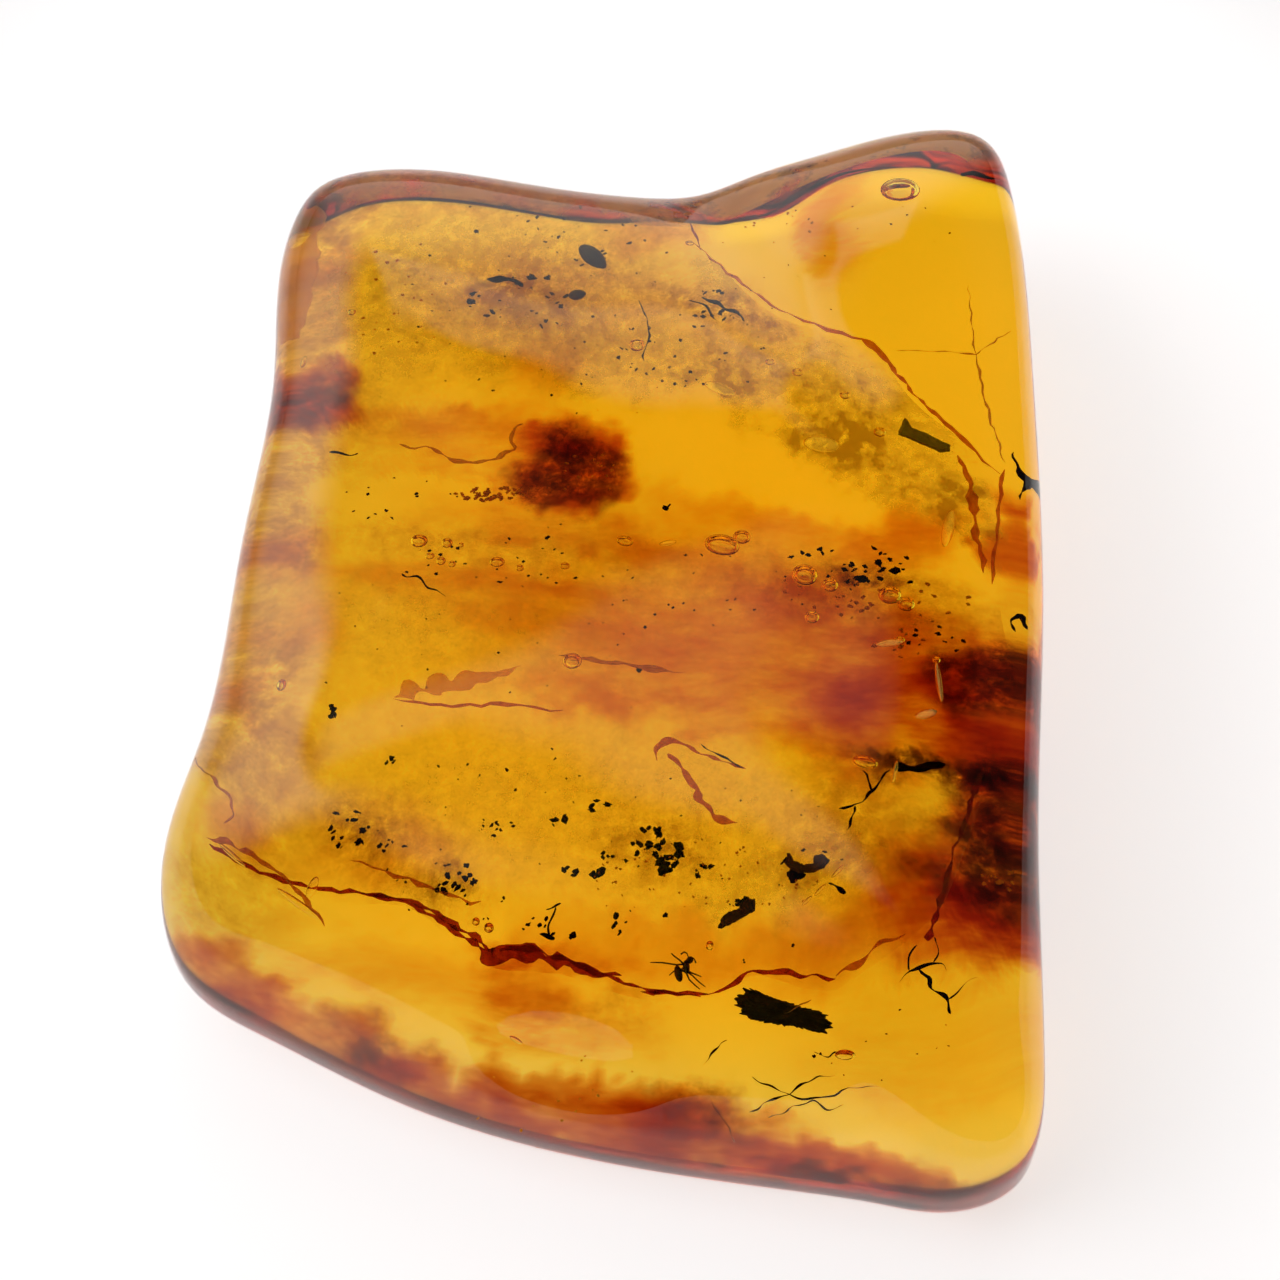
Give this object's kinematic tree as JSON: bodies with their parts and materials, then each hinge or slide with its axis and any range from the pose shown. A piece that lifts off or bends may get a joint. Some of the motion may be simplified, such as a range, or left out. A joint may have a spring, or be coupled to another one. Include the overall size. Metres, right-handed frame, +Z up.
{
  "type": "insect in amber",
  "caption": "Flat polished amber nugget with a small insect and scraps of plant sealed inside, lying on its flat underside.",
  "frame": {"origin": "middle of the bounding box in plan, on the plane of the flat underside", "axes": "+Z up, square to the flat underside; +Y along the nugget's long way, from its slanting end to its notched end; +X to the straight side"},
  "size_m": [0.039, 0.0507, 0.0136],
  "materials": {
    "amber": "polished fossil resin, clear golden to red-brown",
    "insect_shell": "dark dried insect shell",
    "charcoal": "black charred wood",
    "seed_coat": "smooth dark seed coat",
    "dry_leaf": "grey-green dried leaf",
    "bark": "dark brown bark"
  },
  "bodies": {
    "root": {"amber_lower": "amber", "amber_upper": "amber", "insect": "insect_shell", "charcoal_flake": "charcoal", "seed": "seed_coat", "small_seed": "seed_coat", "leaf_scrap": "dry_leaf", "bark_crumb": "bark", "bark_sliver": "bark"}
  },
  "joints": []
}
